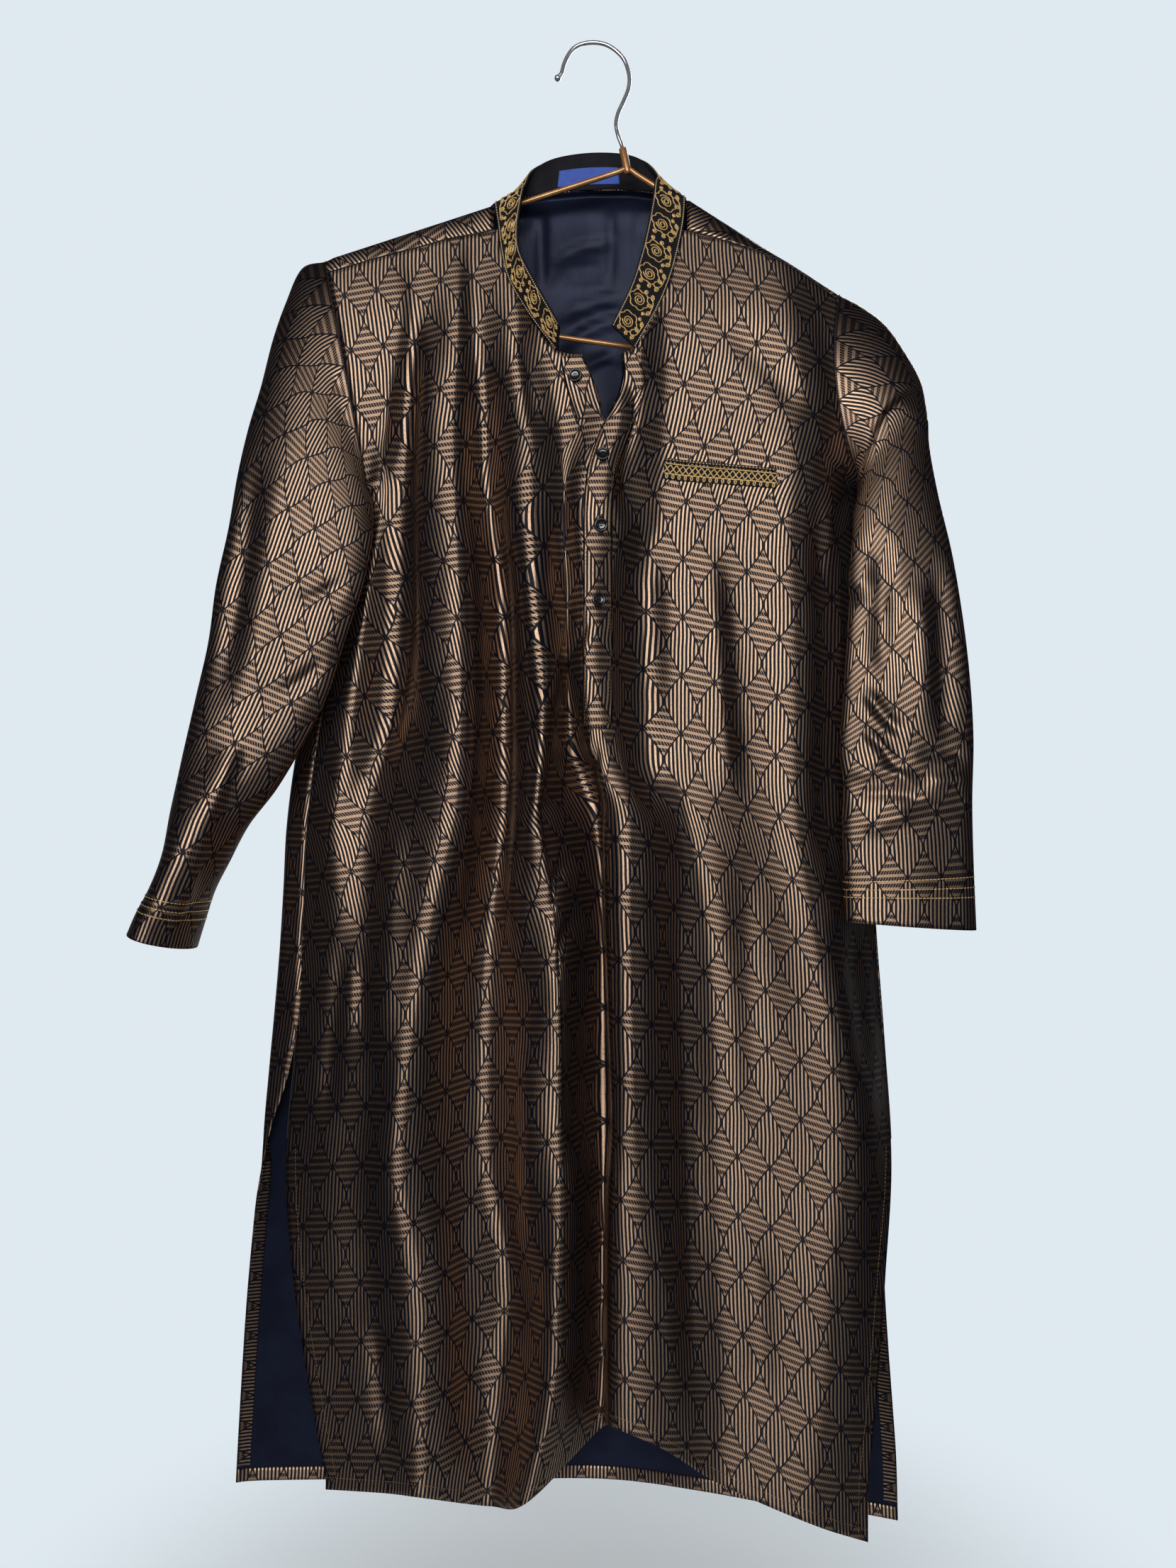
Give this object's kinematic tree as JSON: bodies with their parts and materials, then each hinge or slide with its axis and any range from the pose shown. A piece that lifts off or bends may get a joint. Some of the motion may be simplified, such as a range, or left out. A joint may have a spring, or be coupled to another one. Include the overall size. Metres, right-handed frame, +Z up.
{
  "type": "kurta on a wire hanger",
  "caption": "Long-sleeved men's kurta in a geometric jacquard, with an embroidered stand collar, a half placket and side slits, hanging on a wire hanger by its hook.",
  "frame": {"origin": "inside top of the hanger's hook, where a rail or nail carries it", "axes": "+Z up, +X to the right seen from the front, the front of the kurta faces -Y"},
  "size_m": [0.651, 0.1031, 1.2032],
  "materials": {
    "jacquard": "black and dull gold jacquard, metallic sheen, dark satin reverse",
    "collar": "black cloth with gold chain-stitch embroidery",
    "gold_lace": "dense gold embroidery on black",
    "label": "plain blue woven tape",
    "button": "polished black",
    "hanger_wire": "satin bronze coating",
    "hanger_chrome": "polished"
  },
  "bodies": {
    "root": {"front_panel": "jacquard", "back_panel": "jacquard", "sleeve_left": "jacquard", "sleeve_right": "jacquard", "collar_band": "collar", "placket": "jacquard", "placket_underlap": "jacquard", "pocket_welt": "gold_lace", "neck_label": "label", "button_1": "button", "button_2": "button", "button_3": "button", "button_4": "button", "hanger_frame": "hanger_wire", "hanger_hook": "hanger_chrome"}
  },
  "joints": []
}
